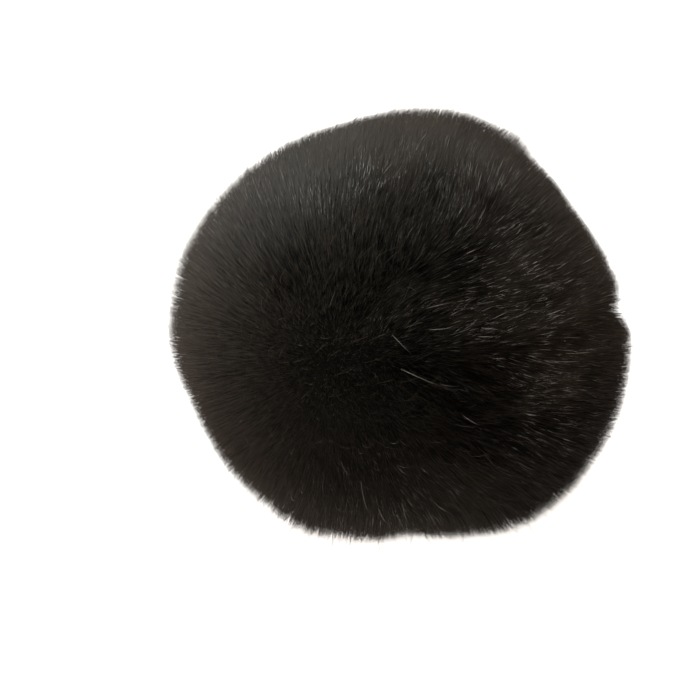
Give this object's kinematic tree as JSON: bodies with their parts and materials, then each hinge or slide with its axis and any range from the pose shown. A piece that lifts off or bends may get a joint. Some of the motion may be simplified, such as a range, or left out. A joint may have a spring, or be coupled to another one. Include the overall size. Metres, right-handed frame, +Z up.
{
  "type": "fur pom pom",
  "caption": "Round pom pom of dense soft fur, a little flattened where it rests, for trimming hats, bags, keyrings and knitwear.",
  "frame": {"origin": "middle of the flat spot that the pom pom rests on, in the floor's plane", "axes": "+Z up through the ball; the face seen in the picture looks towards -Y, with +X to its right"},
  "size_m": [0.0823, 0.0822, 0.0749],
  "materials": {
    "fur": "long soft near-black pile with a faint brown-grey sheen at the tips"
  },
  "bodies": {
    "root": {"pom_pom": "fur"}
  },
  "joints": []
}
